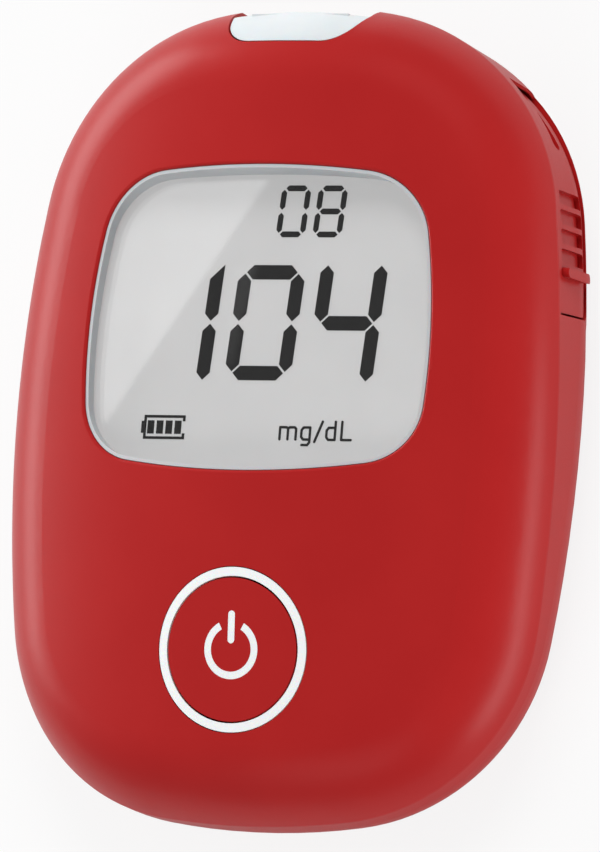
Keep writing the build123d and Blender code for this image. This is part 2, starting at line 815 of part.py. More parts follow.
# Strokes of the unit mark as polylines from its lower left corner, scaled to its height later
unit_strokes = (
    ((0.0, 0.0), (0.0, 1.1), (0.65, 1.1), (0.8, 0.95), (0.8, 0.0)),
    ((0.8, 0.95), (0.95, 1.1), (1.45, 1.1), (1.6, 0.95), (1.6, 0.0)),
    ((3.0, 0.0), (2.35, 0.0), (2.15, 0.25), (2.15, 0.85), (2.35, 1.1), (3.0, 1.1), (3.0, -0.25)),
    ((3.0, -0.25), (2.8, -0.5), (2.25, -0.5)),
    ((3.5, -0.2), (4.2, 1.65)),
    ((5.5, 0.0), (4.85, 0.0), (4.65, 0.25), (4.65, 0.85), (4.85, 1.1), (5.5, 1.1)),
    ((5.5, 0.0), (5.5, 1.65)),
    ((6.15, 1.65), (6.15, 0.0), (7.1, 0.0)),
)


def draw_strokes(strokes, place, height, line):
    """Round-ended strokes in the current sketch."""
    scale = height / max(point[1] for stroke in strokes for point in stroke)
    for stroke in strokes:
        for start, stop in zip(stroke, stroke[1:]):
            span = ((stop[0] - start[0]) * scale, (stop[1] - start[1]) * scale)
            middle = (
                place[0] + start[0] * scale + span[0] / 2,
                place[1] + start[1] * scale + span[1] / 2,
            )
            with Locations(middle):
                turn = degrees(atan2(span[1], span[0]))
                SlotCenterToCenter(hypot(*span), line, rotation=turn)


with BuildPart() as lcd_segments:
    with BuildSketch(display_plane.offset(crystal_level)):
        draw_strokes(unit_strokes, unit_mark_place, unit_mark_height, unit_mark_line)
        draw_digits(
            "104",
            large_digit_mid,
            large_digit_pitch,
            large_digit_width,
            large_digit_height,
            large_digit_stroke,
        )
        draw_digits(
            "08",
            small_digit_mid,
            small_digit_pitch,
            small_digit_width,
            small_digit_height,
            small_digit_stroke,
        )
        icon_width, icon_height = battery_icon_size
        inside = 2 * battery_icon_line
        with Locations(battery_icon_mid):
            Rectangle(icon_width, icon_height)
            Rectangle(icon_width - inside, icon_height - inside, mode=Mode.SUBTRACT)
        with Locations((battery_icon_mid[0] + icon_width / 2, battery_icon_mid[1])):
            Rectangle(inside, icon_height / 2, mode=Mode.SUBTRACT)
        with Locations(battery_icon_mid):
            bar_pitch = (icon_width - inside) / battery_icon_bars
            with GridLocations(bar_pitch, 0, battery_icon_bars, 1):
                Rectangle(bar_pitch - battery_icon_line, icon_height - 2 * inside)
        with Locations((battery_icon_mid[0] - icon_width / 2, battery_icon_mid[1])):
            Rectangle(2 * battery_icon_line, icon_height / 2)
    extrude(amount=segment_thickness)
lcd_segments.part.label = "lcd_segments"
export_step(lcd_segments.part, "parts/lcd_segments.step")

wall_reach = slide_gap + holder_wall
strip_half_length = glass_half_width - contact_ledge / 2
strip_low, strip_high = glass_low + contact_margin, ledge_end - contact_margin

with BuildPart() as lcd_holder:
    outside = (glass_half_width + wall_reach, glass_low - wall_reach, glass_high + wall_reach)
    add(display_slab(*outside, -tall, -fit_gap))
    add(display_slab(*seat, holder_level, tall), mode=Mode.SUBTRACT)
    slot = (strip_half_length + fit_gap, strip_low - slide_gap, strip_high + slide_gap)
    add(display_slab(*slot, -tall, tall), mode=Mode.SUBTRACT)
    opening = (ledge_end + holder_opening_margin, glass_high - holder_opening_margin)
    opening_half = glass_half_width - holder_opening_margin
    add(display_slab(opening_half, *opening, -tall, tall), mode=Mode.SUBTRACT)
    split(bisect_by=Plane.XY.offset(board_top), keep=Keep.TOP)
    add(under_dome(shell_wall + fit_gap), mode=Mode.INTERSECT)
lcd_holder.part.label = "lcd_holder"
export_step(lcd_holder.part, "parts/lcd_holder.step")

with BuildPart() as contact_strip:
    strip_top = -glass_thickness - seat_gap
    add(display_slab(strip_half_length, strip_low, strip_high, -tall, strip_top))
    split(bisect_by=Plane.XY.offset(board_top), keep=Keep.TOP)
contact_strip.part.label = "contact_strip"
export_step(contact_strip.part, "parts/contact_strip.step")

# ---- Circuit board and what is soldered to it
connector_end = notch_bottom_y
connector_start = connector_end - connector_length
finger_start = connector_start + finger_inset
finger_end = finger_start + finger_length
board_tab_start = cells_high_y - board_tab_overlap
board_tab_end = bottom_y + board_tab_margin

with BuildPart() as main_board:
    with BuildSketch(Plane.XY.offset(board_bottom)):
        add(plan_face(body_plan, board_edge))
        low_part = board_tab_start - bottom_y
        with Locations((0, board_tab_start - low_part / 2)):
            Rectangle(body_width, low_part, mode=Mode.SUBTRACT)
        with Locations((0, (board_tab_start + board_tab_end) / 2)):
            Rectangle(2 * board_tab_half, board_tab_start - board_tab_end + seat_gap)
        for place in boss_places[:2]:
            with Locations(place):
                Circle(boss_radius + 2 * fit_gap, mode=Mode.SUBTRACT)
        for place in both_sides(board_screw_place):
            with Locations(place):
                Circle(board_screw_radius + seat_gap, mode=Mode.SUBTRACT)
    extrude(amount=board_thickness)
    low = (-finger_half - slide_gap, finger_start - slide_gap, 0)
    high = (finger_half + slide_gap, finger_end + finger_stroke + slide_gap, tall)
    add(block(low, high), mode=Mode.SUBTRACT)
main_board.part.label = "main_board"
export_step(main_board.part, "parts/main_board.step")


def chip(size, place):
    """Moulded package under the board."""
    with BuildPart() as package:
        with Locations((*place, board_bottom - size[2] / 2)):
            Box(*size)
        chamfer(package.faces().sort_by(Axis.Z)[0].edges(), chip_edge)
    return package.part


for name, size, place in (
    ("microcontroller", chip_size, chip_place),
    ("measuring_chip", measuring_chip_size, measuring_chip_place),
    ("crystal", crystal_size, crystal_place),
):
    with BuildPart() as component:
        add(chip(size, place))
    component.part.label = name
    export_step(component.part, "parts/" + name + ".step")

with BuildPart() as passives:
    for index in range(passive_count):
        step = index - (passive_count - 1) / 2
        add(chip(passive_size, (passive_row[0] + step * passive_pitch, passive_row[1])))
passives.part.label = "passives"
export_step(passives.part, "parts/passives.step")

with BuildPart() as buzzer:
    add(disc(buzzer_place, buzzer_radius, board_bottom - buzzer_height, board_bottom))
    chamfer(buzzer.faces().sort_by(Axis.Z)[0].edges(), buzzer_edge)
    sound_hole = disc(buzzer_place, sound_hole_radius, 0, board_bottom - buzzer_height / 2)
    add(sound_hole, mode=Mode.SUBTRACT)
buzzer.part.label = "buzzer"
export_step(buzzer.part, "parts/buzzer.step")

# ---- Main button: ring, cap with an inlaid power sign, and the switch under it
button_place = (0, button_y)
cap_radius = ring_inner_radius - button_side_gap
flange_depth = shell_wall + fit_gap
switch_top = board_top + switch_size[2]
plunger_top = switch_top + plunger_height

with BuildPart() as button_ring:
    add(disc(button_place, ring_outer_radius, board_top, tall, ring_inner_radius))
    add(under_dome(0), mode=Mode.INTERSECT)
    add(under_dome(ring_depth), mode=Mode.SUBTRACT)
button_ring.part.label = "button_ring"
export_step(button_ring.part, "parts/button_ring.step")

with BuildPart() as button_symbol:
    with BuildSketch(Plane.XY.offset(board_top)):
        with Locations(button_place):
            Circle(symbol_radius)
            Circle(symbol_radius - symbol_line, mode=Mode.SUBTRACT)
            reach = 2 * symbol_radius
            half_opening = reach * sin(radians(symbol_opening / 2))
            wedge = ((0, 0), (half_opening, reach), (-half_opening, reach))
            Polygon(*wedge, align=None, mode=Mode.SUBTRACT)
        with Locations((0, button_y + sum(symbol_bar) / 2)):
            SlotOverall(symbol_bar[1] - symbol_bar[0], symbol_line, rotation=90)
    extrude(amount=tall)
    add(under_dome(0), mode=Mode.INTERSECT)
    add(under_dome(symbol_depth), mode=Mode.SUBTRACT)
button_symbol.part.label = "button_symbol"
export_step(button_symbol.part, "parts/button_symbol.step")

with BuildPart() as button_flange_ring:
    add(disc(button_place, cap_radius + button_flange, board_top, tall))
    add(under_dome(flange_depth), mode=Mode.INTERSECT)

with BuildPart() as button_stem:
    add(disc(button_place, button_stem_radius, plunger_top + seat_gap, tall))
    add(under_dome(flange_depth), mode=Mode.INTERSECT)

with BuildPart() as main_button:
    add(disc(button_place, cap_radius, board_top, tall))
    add(under_dome(0), mode=Mode.INTERSECT)
    add(button_flange_ring.part)
    add(under_dome(flange_depth + button_flange_height), mode=Mode.SUBTRACT)
    add(button_stem.part)
    add(button_symbol.part, mode=Mode.SUBTRACT)
main_button.part.label = "main_button"
export_step(main_button.part, "parts/main_button.step")

with BuildPart() as button_switch:
    with Locations((*button_place, board_top + switch_size[2] / 2)):
        Box(*switch_size)
    well_floor = switch_top - 2 * button_travel - seat_gap
    well = disc(button_place, plunger_radius + fit_gap, well_floor, tall)
    add(well, mode=Mode.SUBTRACT)
button_switch.part.label = "button_switch"
export_step(button_switch.part, "parts/button_switch.step")

with BuildPart() as switch_plunger:
    plunger_bottom = switch_top - button_travel
    add(disc(button_place, plunger_radius, plunger_bottom, plunger_top))
    chamfer(switch_plunger.faces().sort_by(Axis.Z)[-1].edges(), fit_gap)
switch_plunger.part.label = "switch_plunger"
export_step(switch_plunger.part, "parts/switch_plunger.step")

# ---- Strip port: insert in the shell's notch, connector on the board, its contacts
slot_half = strip_slot_width / 2

with BuildPart() as insert_flange_band:
    flange_plane = Plane.XY.offset(notch_floor - insert_flange)
    extrude(notch_face(insert_flange, flange_plane), amount=tall)
    add(body_form(shell_wall + seat_gap), mode=Mode.INTERSECT)

with BuildPart() as port_mouth:
    low = (-slot_half - mouth_flare, 0, strip_height - mouth_flare / 2)
    add(block(low, (slot_half + mouth_flare, body_length, slot_top + mouth_flare / 2)))
    add(body_form(mouth_flare), mode=Mode.SUBTRACT)

with BuildPart() as strip_port:
    extrude(notch_face(-fit_gap, Plane.XY.offset(notch_floor + fit_gap)), amount=tall)
    add(body_form(fit_gap), mode=Mode.INTERSECT)
    extrude(plan_face(body_plan, insert_recess), amount=tall, mode=Mode.INTERSECT)
    add(insert_flange_band.part)
    add(body_form(insert_wall), mode=Mode.SUBTRACT)
    collar_half = slot_half + 2 * mouth_flare
    low = (-collar_half, connector_end + fit_gap, board_top + seat_gap)
    collar_end = top_y - insert_wall / 2
    add(block(low, (collar_half, collar_end, slot_top + 2 * mouth_flare)))
    low = (-slot_half, connector_end, strip_height)
    add(block(low, (slot_half, body_length, slot_top)), mode=Mode.SUBTRACT)
    add(port_mouth.part, mode=Mode.SUBTRACT)
strip_port.part.label = "strip_port"
export_step(strip_port.part, "parts/strip_port.step")

contact_start = connector_start + contact_tail
groove_top = slot_top + contact_thickness + fit_gap
contact_places = [(index - (contact_count - 1) / 2) * contact_pitch for index in range(contact_count)]

with BuildPart() as strip_connector:
    low = (-connector_half_width, connector_start, board_top)
    high = (connector_half_width, connector_end, board_top + connector_height)
    add(block(low, high))
    chamfer(strip_connector.faces().sort_by(Axis.Z)[-1].edges(), fit_gap)
    low = (-slot_half, contact_start, strip_height)
    add(block(low, (slot_half, body_length, slot_top)), mode=Mode.SUBTRACT)
    low = (-finger_half - slide_gap, finger_start - slide_gap, board_bottom)
    high = (finger_half + slide_gap, finger_end + finger_stroke + slide_gap, slot_top)
    add(block(low, high), mode=Mode.SUBTRACT)
    for contact_x in contact_places:
        half = contact_width / 2 + seat_gap
        low = (contact_x - half, 0, slot_top)
        high = (contact_x + half, contact_start + contact_reach - fit_gap, groove_top)
        add(block(low, high), mode=Mode.SUBTRACT)
strip_connector.part.label = "strip_connector"
export_step(strip_connector.part, "parts/strip_connector.step")

with BuildPart() as strip_contacts:
    for contact_x in contact_places:
        low_x, high_x = contact_x - contact_width / 2, contact_x + contact_width / 2
        leaf_bottom = slot_top + seat_gap
        leaf_top = leaf_bottom + contact_thickness
        tail_y = connector_start - contact_thickness - fit_gap
        leaf_end = contact_start + contact_reach - 2 * fit_gap
        add(block((low_x, tail_y, leaf_bottom), (high_x, leaf_end, leaf_top)))
        add(block((low_x, tail_y, board_top), (high_x, tail_y + contact_thickness, leaf_top)))
        foot_y = tail_y - contact_thickness * 2
        foot_top = board_top + contact_thickness
        add(block((low_x, foot_y, board_top), (high_x, tail_y + contact_thickness, foot_top)))
strip_contacts.part.label = "strip_contacts"
export_step(strip_contacts.part, "parts/strip_contacts.step")

# ---- Strip ejector: ribbed thumb plate, lever, pusher and torsion spring
with BuildPart() as grips:
    for index in range(grip_pockets):
        angle = grip_pocket_angle - index * grip_pocket_pitch
        with BuildSketch(wall_plane(angle, (grip_pocket_bottom + grip_pocket_top) / 2)):
            size = (grip_pocket_width, grip_pocket_top - grip_pocket_bottom)
            RectangleRounded(*size, grip_pocket_width / 4, rotation=rib_lean)
        extrude(amount=body_width)
    add(plate_form(plate_recess + grip_pocket_depth), mode=Mode.SUBTRACT)

with BuildPart() as thumb_rib:
    with BuildSketch(wall_plane(thumb_rib_angle, (thumb_rib_bottom + thumb_rib_top) / 2)):
        SlotOverall(thumb_rib_top - thumb_rib_bottom, thumb_rib_width, rotation=90 + rib_lean)
    extrude(amount=body_width)
    add(plate_form(plate_recess - thumb_rib_rise), mode=Mode.INTERSECT)
    add(inner_form, mode=Mode.SUBTRACT)

with BuildPart() as arrow_recess:
    with BuildSketch(wall_plane(arrow_angle, arrow_height)):
        half_length, half_width = arrow_length / 2, arrow_width / 2
        with BuildLine():
            Line((half_length, 0), (half_width - half_length, half_width))
            RadiusArc(
                (half_width - half_length, half_width), (half_width - half_length, -half_width), -half_width
            )
            Line((half_width - half_length, -half_width), (half_length, 0))
        make_face()
    extrude(amount=body_width)
    add(plate_form(plate_recess + arrow_depth), mode=Mode.SUBTRACT)

with BuildPart() as ejector_plate:
    add(plate_slice(plate_end))
    add(plate_form(plate_recess), mode=Mode.INTERSECT)
    add(inner_form, mode=Mode.SUBTRACT)
    add(grips.part, mode=Mode.SUBTRACT)
    add(arrow_recess.part, mode=Mode.SUBTRACT)
    add(thumb_rib.part)
ejector_plate.part.label = "ejector_plate"
export_step(ejector_plate.part, "parts/ejector_plate.step")

with BuildPart() as ejector_lever:
    add(disc(pivot, hub_radius, hub_bottom, hub_top))
    with BuildSketch(pivot_plane(lever_angle, lever_bottom)):
        with Locations((body_width / 4, 0)):
            Rectangle(body_width / 2, lever_width)
    extrude(amount=hub_top - lever_bottom)
    add(body_form(shell_wall + seat_gap), mode=Mode.INTERSECT)
    with BuildSketch(pivot_plane(lever_angle, hub_top)):
        with Locations((lever_pin_distance, 0)):
            Circle(lever_pin_radius)
    extrude(amount=pusher_bottom + pusher_thickness - hub_top - fit_gap)
    add(disc(pivot, post_radius + pin_gap, 0, tall), mode=Mode.SUBTRACT)
ejector_lever.part.label = "ejector_lever"
export_step(ejector_lever.part, "parts/ejector_lever.step")

pusher_top = pusher_bottom + pusher_thickness
finger_top = slot_top - slide_gap

with BuildPart() as ejector_pusher:
    low = (-pusher_arm_half, pin_y - pusher_width / 2, pusher_bottom)
    add(block(low, (pin_x + pusher_end, pin_y + pusher_width / 2, pusher_top)))
    low = (-pusher_arm_half, pin_y, pusher_bottom)
    add(block(low, (pusher_arm_half, finger_end, pusher_top)))
    add(block((-finger_half, finger_start, pusher_bottom), (finger_half, finger_end, finger_top)))
    with BuildSketch(Plane.XY):
        with Locations((pin_x, pin_y)):
            slot_width = 2 * (lever_pin_radius + pin_slot_gap)
            SlotOverall(slot_width + 2 * slide_gap, slot_width)
    extrude(amount=tall, mode=Mode.SUBTRACT)
ejector_pusher.part.label = "ejector_pusher"
export_step(ejector_pusher.part, "parts/ejector_pusher.step")

with BuildPart() as ejector_spring:
    spring_low = hub_bottom - slide_gap - spring_pitch * spring_turns - 2 * spring_wire
    spring_plane = Plane(origin=(*pivot, spring_low))
    shape = (spring_radius, spring_wire, spring_pitch, spring_turns)
    add(coil(spring_plane, *shape, leg=spring_leg))
ejector_spring.part.label = "ejector_spring"
export_step(ejector_spring.part, "parts/ejector_spring.step")

# ---- Batteries and their contacts
metal_x = tray_half_width - seat_gap
contact_face = metal_x - plate_metal
nub_tip = contact_face - contact_bump - seat_gap
cell_start = nub_tip - cell_length
contact_limit = body_form(lip_inset + 2 * seat_gap)
contact_bottom = shell_wall + tray_wall


def cell(cell_y, right_end):
    """AAA cell with its raised end towards +X, or towards -X."""
    with BuildPart() as battery:
        add(lying_cylinder((cell_start, 0, 0), cell_radius, cell_length - cell_nub_length))
        chamfer(battery.edges(), cell_nub_length / 2)
        add(lying_cylinder((nub_tip - 2 * cell_nub_length, 0, 0), cell_nub_radius, 2 * cell_nub_length))
    turned = battery.part if right_end else battery.part.rotate(Axis.Z, 180)
    return Pos(0, cell_y, cell_height) * turned


for name, cell_y, right_end in (
    ("battery_upper", cell_places[0], False),
    ("battery_lower", cell_places[1], True),
):
    with BuildPart() as battery_cell:
        add(cell(cell_y, right_end))
    battery_cell.part.label = name
    export_step(battery_cell.part, "parts/" + name + ".step")

with BuildPart() as battery_contacts:
    for cell_y in cell_places:
        low = (-metal_x, cell_y - contact_plate_width / 2, contact_bottom)
        add(block(low, (-contact_face, cell_y + contact_plate_width / 2, board_bottom)))
    bump_start = (-contact_face, cell_places[0], cell_height)
    add(lying_cylinder(bump_start, cell_nub_radius, contact_bump))
    add(contact_limit, mode=Mode.INTERSECT)
battery_contacts.part.label = "battery_contacts"
export_step(battery_contacts.part, "parts/battery_contacts.step")

with BuildPart() as battery_bridge:
    low = (contact_face, cell_places[1] - contact_plate_width / 2, contact_bottom)
    add(block(low, (metal_x, cell_places[0] + contact_plate_width / 2, tray_top - tray_wall)))
    bump_start = (contact_face - contact_bump, cell_places[1], cell_height)
    add(lying_cylinder(bump_start, cell_nub_radius, contact_bump))
    add(contact_limit, mode=Mode.INTERSECT)
battery_bridge.part.label = "battery_bridge"
export_step(battery_bridge.part, "parts/battery_bridge.step")

with BuildPart() as battery_springs:
    reach = contact_face - cell_spring_wire - seat_gap
    shape = (cell_spring_radius, cell_spring_wire, cell_spring_pitch, cell_spring_turns)
    right_place = Plane(origin=(reach, cell_places[0], cell_height), x_dir=(0, 1, 0), z_dir=(-1, 0, 0))
    left_place = Plane(origin=(-reach, cell_places[1], cell_height), x_dir=(0, 1, 0), z_dir=(1, 0, 0))
    add(coil(right_place, *shape, -cell_spring_cone))
    add(coil(left_place, *shape, -cell_spring_cone))
battery_springs.part.label = "battery_springs"
export_step(battery_springs.part, "parts/battery_springs.step")


# ---- Screws and the blank rating label
def screw(place, shank_radius, head_radius, head_bottom, head_height, length):
    """Cross-headed screw with its head down."""
    with BuildPart() as fastener:
        add(disc(place, head_radius, head_bottom, head_bottom + head_height))
        chamfer(fastener.faces().sort_by(Axis.Z)[0].edges(), screw_head_edge)
        add(disc(place, shank_radius, head_bottom, head_bottom + head_height + length))
        with BuildSketch(Plane.XY.offset(head_bottom)):
            with Locations(place):
                Rectangle(head_radius * driver_recess[0], head_radius * driver_recess[1])
                Rectangle(head_radius * driver_recess[1], head_radius * driver_recess[0])
        extrude(amount=head_height / 2, mode=Mode.SUBTRACT)
    return fastener.part


with BuildPart() as case_screws:
    for place in boss_places:
        head_bottom = screw_sink - screw_head_height
        add(screw(place, screw_radius, screw_head_radius, head_bottom, screw_head_height, screw_bite))
case_screws.part.label = "case_screws"
export_step(case_screws.part, "parts/case_screws.step")

with BuildPart() as board_screws:
    for place in both_sides(board_screw_place):
        shape = (board_screw_radius, board_screw_head, board_bottom - board_thickness, board_thickness)
        add(screw(place, *shape, board_thickness + board_screw_bite))
board_screws.part.label = "board_screws"
export_step(board_screws.part, "parts/board_screws.step")

with BuildPart() as rating_label:
    with BuildSketch(Plane.XY.offset(label_recess - label_thickness)):
        with Locations((0, label_mid_y)):
            RectangleRounded(label_size[0] - fit_gap, label_size[1] - fit_gap, label_corner)
    extrude(amount=label_thickness)
rating_label.part.label = "rating_label"
export_step(rating_label.part, "parts/rating_label.step")
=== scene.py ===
import math

import bpy
from mathutils import Euler, Matrix, Vector


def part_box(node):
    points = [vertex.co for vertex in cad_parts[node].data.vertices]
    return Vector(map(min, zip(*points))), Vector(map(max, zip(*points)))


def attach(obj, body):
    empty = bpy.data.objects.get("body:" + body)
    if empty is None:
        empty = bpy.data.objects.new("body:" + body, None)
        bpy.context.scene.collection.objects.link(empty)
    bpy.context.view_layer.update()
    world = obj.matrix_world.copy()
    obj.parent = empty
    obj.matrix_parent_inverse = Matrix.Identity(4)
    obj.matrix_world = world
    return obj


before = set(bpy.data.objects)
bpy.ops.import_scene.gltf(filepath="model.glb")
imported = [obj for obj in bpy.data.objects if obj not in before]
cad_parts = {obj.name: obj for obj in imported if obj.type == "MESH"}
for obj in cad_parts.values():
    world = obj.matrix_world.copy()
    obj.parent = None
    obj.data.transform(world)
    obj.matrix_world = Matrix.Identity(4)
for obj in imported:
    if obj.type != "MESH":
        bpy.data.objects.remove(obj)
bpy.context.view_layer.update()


# A socket that does arithmetic: an expression on it adds the Math nodes it needs
class Value:
    def __init__(self, finish, socket):
        self.finish = finish
        self.socket = socket

    def maths(self, operation, *numbers):
        return self.finish.node("Math", {"operation": operation}, dict(enumerate(numbers)))

    def __add__(self, other):
        return self.maths("ADD", self, other)

    def __radd__(self, other):
        return self.maths("ADD", other, self)

    def __sub__(self, other):
        return self.maths("SUBTRACT", self, other)

    def __rsub__(self, other):
        return self.maths("SUBTRACT", other, self)

    def __mul__(self, other):
        return self.maths("MULTIPLY", self, other)

    def __rmul__(self, other):
        return self.maths("MULTIPLY", other, self)

    def __truediv__(self, other):
        return self.maths("DIVIDE", self, other)

    def __rtruediv__(self, other):
        return self.maths("DIVIDE", other, self)

    def __mod__(self, other):
        return self.maths("FLOORED_MODULO", self, other)

    def __rmod__(self, other):
        return self.maths("FLOORED_MODULO", other, self)

    def __gt__(self, other):
        return self.maths("GREATER_THAN", self, other)

    def __lt__(self, other):
        return self.maths("LESS_THAN", self, other)

    def __abs__(self):
        return self.maths("ABSOLUTE", self)


# A material under construction
class Finish:
    def __init__(self, name):
        self.material = bpy.data.materials.new(name)
        self.material.use_nodes = True
        self.tree = self.material.node_tree
        self.tree.nodes.clear()

    def nodeType(self, kind):
        return "ShaderNode" + kind

    # Any node: its settings first, then the values or links of its inputs
    def node(self, kind, settings=None, inputs=None, output=0):
        made = self.tree.nodes.new(self.nodeType(kind))
        for key, value in (settings or {}).items():
            setattr(made, key, value)
        for key, value in (inputs or {}).items():
            if isinstance(value, Value):
                self.tree.links.new(value.socket, made.inputs[key])
            else:
                made.inputs[key].default_value = value
        return Value(self, made.outputs[output])

    # Place on the piece, in metres times the scale along each axis
    def place(self, scale=(1, 1, 1)):
        coords = self.node("TexCoord", output=3)
        return self.node("Mapping", None, {"Vector": coords, "Scale": scale})

    def parts(self, vector):
        made = self.tree.nodes.new("ShaderNodeSeparateXYZ")
        self.tree.links.new(vector.socket, made.inputs[0])
        return [Value(self, socket) for socket in made.outputs]

    def noise(self, scale, detail, where=None):
        inputs = {"Vector": where or self.place(), "Scale": scale, "Detail": detail}
        return self.node("TexNoise", None, inputs)

    def mix(self, share, first, second):
        return self.node("Mix", {"data_type": "RGBA"}, {0: share, 6: first, 7: second}, output=2)

    def bump(self, height, strength, distance):
        inputs = {"Height": height, "Strength": strength, "Distance": distance}
        return self.node("Bump", None, inputs)

    def close(self, shader):
        made = self.tree.nodes.new("ShaderNodeOutputMaterial")
        self.tree.links.new(shader.socket, made.inputs["Surface"])
        return self.material

    def surface(self, inputs):
        return self.close(self.node("BsdfPrincipled", None, inputs))


white = (1, 1, 1, 1)
# How a screen's 0-255 levels follow light: straight in the darkest ones, then a power curve
screenCurve = {
    "levels": 255,
    "lift": 0.055,
    "power": 2.4,
    "straightTo": 10,
    "straightLevels": 3295,
}


# Linear colour from the 0-255 values a colour picker shows
def shade(red, green, blue):
    curve = screenCurve
    linear = []
    for level in (red, green, blue):
        if level > curve["straightTo"]:
            lifted = (level / curve["levels"] + curve["lift"]) / (1 + curve["lift"])
            linear.append(lifted ** curve["power"])
        else:
            linear.append(level / curve["straightLevels"])
    return (*linear, 1.0)


# Moulded plastic: a slow mottle in the colour, fine grain in the gloss and the bump
def mouldedPlastic(name, look):
    finish = Finish(name)
    mottle = finish.noise(look["mottleScale"], look["mottleDetail"])
    grain = finish.noise(look["grainScale"], look["grainDetail"])
    tint = finish.mix(mottle, look["deep"], look["bright"])
    specks = finish.noise(look["grainScale"] * look["speckShare"], look["speckDetail"])
    tint = finish.mix(specks * look["speckle"], tint, look["bright"])
    inputs = {
        "Base Color": tint,
        "Roughness": look["roughness"] + (grain - 0.5) * look["roughnessSpread"],
        "Normal": finish.bump(grain, look["bumpStrength"], look["bumpDepth"]),
        "Specular IOR Level": look["specular"],
        "Subsurface Weight": look["subsurface"],
        "Subsurface Scale": look["subsurfaceScale"],
    }
    # Painted light: a look with a glow gives off its own colour, which lightens its shade
    if "glow" in look:
        inputs.update({"Emission Color": tint, "Emission Strength": look["glow"]})
    return finish.surface(inputs)


# What the plastics share, unless one of them says otherwise
plasticLook = {
    "mottleDetail": 3.0,
    "grainDetail": 2.0,
    "speckDetail": 1.0,
    "speckShare": 0.37,  # of the grain's scale, so specks are coarser than grain
    "speckle": 0.1,
    "specular": 0.5,
    "subsurface": 0.0,
    "subsurfaceScale": 0.001,
}
housingLook = {
    **plasticLook,
    "deep": shade(168, 25, 26),
    "bright": shade(179, 33, 32),
    "mottleScale": 90,
    "grainScale": 5200,
    "roughness": 0.34,
    "roughnessSpread": 0.1,
    "bumpStrength": 0.12,
    "bumpDepth": 0.00004,
    "specular": 0.25,
}
portLook = {
    **plasticLook,
    "deep": shade(210, 217, 220),
    "bright": shade(226, 231, 233),
    "mottleScale": 160,
    "grainScale": 4200,
    "roughness": 0.3,
    "roughnessSpread": 0.06,
    "bumpStrength": 0.05,
    "bumpDepth": 0.00003,
    "subsurface": 0.15,
    "subsurfaceScale": 0.0012,
}
printLook = {
    **portLook,
    "deep": shade(248, 248, 248),
    "bright": shade(254, 254, 254),
    "roughness": 0.45,
}
bezelLook = {
    **portLook,
    "deep": shade(188, 192, 195),
    "bright": shade(200, 203, 206),
    "roughness": 0.5,
}
# Painted light: it glows in its own colour as if lit from behind, and this fills in the shade
# that the window's rim casts on the display
reflectorPaintedGlowLook = {
    **portLook,
    "deep": shade(143, 142, 142),
    "bright": shade(149, 148, 148),
    "roughness": 0.6,
    "glow": 1.3,
}
darkLook = {
    **plasticLook,
    "deep": shade(22, 22, 24),
    "bright": shade(38, 38, 41),
    "mottleScale": 300,
    "grainScale": 6000,
    "speckle": 0.3,
    "roughness": 0.55,
    "roughnessSpread": 0.15,
    "bumpStrength": 0.2,
    "bumpDepth": 0.00003,
}
inkLook = {
    **darkLook,
    "deep": shade(8, 7, 7),
    "bright": shade(14, 12, 12),
    "specular": 0.1,
}
rubberLook = {
    **darkLook,
    "deep": shade(90, 92, 96),
    "bright": shade(120, 122, 128),
    "roughness": 0.8,
}

housingRed = mouldedPlastic("housingRed", housingLook)
portWhite = mouldedPlastic("portWhite", portLook)
printWhite = mouldedPlastic("printWhite", printLook)
bezelGrey = mouldedPlastic("bezelGrey", bezelLook)
reflectorPaintedGlowGrey = mouldedPlastic("reflectorPaintedGlowGrey", reflectorPaintedGlowLook)
chipBlack = mouldedPlastic("chipBlack", darkLook)
segmentBlack = mouldedPlastic("segmentBlack", inkLook)
contactRubber = mouldedPlastic("contactRubber", rubberLook)


# Sheet metal and wire: brushed or plated, with streaks along one axis and worn spots
def platedMetal(name, look):
    finish = Finish(name)
    brushed = finish.place(look["brush"])
    streaks = finish.noise(look["streakScale"], look["streakDetail"], brushed)
    wear = finish.noise(look["wearScale"], look["wearDetail"])
    return finish.surface({
        "Base Color": finish.mix(wear, look["deep"], look["bright"]),
        "Metallic": 1.0,
        "Roughness": look["roughness"] + streaks * look["roughnessSpread"],
        "Normal": finish.bump(streaks, look["bumpStrength"], look["bumpDepth"]),
    })


steelLook = {
    "deep": shade(168, 168, 170),
    "bright": shade(205, 205, 206),
    "brush": (1.0, 12.0, 1.0),
    "streakScale": 900,
    "streakDetail": 3.0,
    "wearScale": 420,
    "wearDetail": 4.0,
    "roughness": 0.22,
    "roughnessSpread": 0.2,
    "bumpStrength": 0.15,
    "bumpDepth": 0.00002,
}
goldLook = {
    **steelLook,
    "deep": shade(196, 158, 84),
    "bright": shade(232, 200, 120),
    "roughness": 0.18,
}
nickelSteel = platedMetal("nickelSteel", steelLook)
goldPlate = platedMetal("goldPlate", goldLook)


# Clear sheet: lets the view straight through and adds a thin gloss
def clearSheet(name, look):
    finish = Finish(name)
    haze = finish.noise(look["hazeScale"], look["hazeDetail"])
    smudges = finish.noise(look["smudgeScale"], look["smudgeDetail"])
    through = finish.node("BsdfTransparent", None, {"Color": look["tint"]})
    gloss = finish.node("BsdfGlossy", None, {
        "Color": white,
        "Roughness": look["roughness"] + smudges * look["smudge"],
        "Normal": finish.bump(haze, look["bumpStrength"], look["bumpDepth"]),
    })
    # The share mirrored grows towards a flat glance, alike on both faces of the sheet
    facing = finish.node("LayerWeight", output=1)
    squared = facing * facing
    share = squared * squared * facing * (1 - look["mirrored"]) + look["mirrored"]
    inputs = {0: share * look["gloss"], 1: through, 2: gloss}
    return finish.close(finish.node("MixShader", None, inputs))


